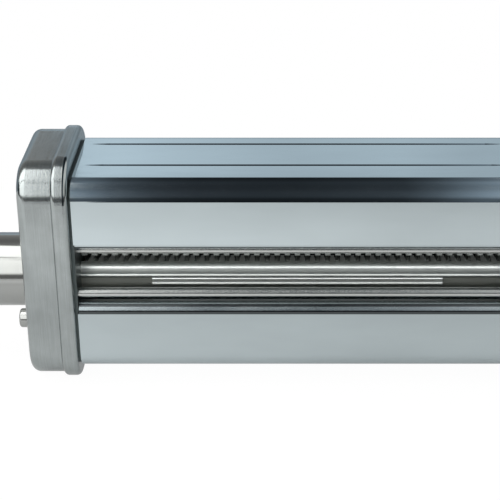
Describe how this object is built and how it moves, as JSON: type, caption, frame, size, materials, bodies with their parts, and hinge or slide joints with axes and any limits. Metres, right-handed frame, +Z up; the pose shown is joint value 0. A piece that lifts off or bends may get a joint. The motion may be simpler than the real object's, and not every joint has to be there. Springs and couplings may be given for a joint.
{
  "type": "pasta cutter attachment",
  "caption": "Power-driven noodle cutter: interleaved ring rolls in a folded sheet body between two cast end housings, with gears and a round hub boss with a square tang.",
  "frame": {"origin": "on the drive axis, in the outer face of the gear cover, where the hub boss stands on it", "axes": "+X along the rolls, away from the hub; +Y to the feed side, so -Y is the outlet side; +Z up"},
  "size_m": [0.2664, 0.0632, 0.0974],
  "materials": {
    "satin_casting": "brushed satin nickel over a zinc casting",
    "polished_hub": "turned and polished",
    "bronze": "sintered bronze",
    "fastener": "plain steel",
    "spring_steel": "blackened spring steel",
    "side_plate": "mill finish",
    "mirror_sheet": "mirror polished",
    "roll_steel": "turned and polished",
    "shaft_steel": "turned",
    "gear_steel": "hobbed and oiled",
    "comb_steel": "polished",
    "rod_steel": "bright drawn"
  },
  "bodies": {
    "frame": {"gear_cover": "satin_casting", "left_flange": "satin_casting", "mounting_hub": "polished_hub", "hub_bushing": "bronze", "locating_pin": "polished_hub", "gear_cover_screws": "fastener", "left_side_plate": "side_plate", "right_side_plate": "side_plate", "right_flange": "satin_casting", "right_cover": "satin_casting", "right_cover_screws": "fastener", "upper_shell": "mirror_sheet", "lower_shell": "mirror_sheet", "lower_left_bushing": "bronze", "upper_left_bushing": "bronze", "lower_right_bushing": "bronze", "upper_right_bushing": "bronze", "lower_comb": "comb_steel", "upper_comb": "comb_steel", "lower_feed_guide": "comb_steel", "upper_feed_guide": "comb_steel", "outlet_tie_rod": "rod_steel", "feed_tie_rod": "rod_steel", "top_tie_rod": "rod_steel", "bottom_tie_rod": "rod_steel", "upper_outlet_rod": "rod_steel", "upper_feed_rod": "rod_steel", "tie_rod_screws": "fastener"},
    "drive_roll": {"lower_roll": "roll_steel", "drive_shaft": "shaft_steel", "drive_cross_pin": "fastener", "hub_ring": "spring_steel", "drive_gear": "gear_steel", "lower_roll_ring": "spring_steel"},
    "driven_roll": {"upper_roll": "roll_steel", "driven_gear": "gear_steel", "upper_roll_ring": "spring_steel"}
  },
  "joints": [
    {"name": "drive_spin", "type": "hinge", "parent": "frame", "child": "drive_roll", "pos_m": [0, 0, 0], "axis": [1, 0, 0], "continuous": true},
    {"name": "driven_spin", "type": "hinge", "parent": "frame", "child": "driven_roll", "pos_m": [0, 0, 0.018], "axis": [1, 0, 0], "continuous": true}
  ],
  "couplings": [
    {"joint": "driven_spin", "follows": "drive_spin", "ratio": -1}
  ]
}
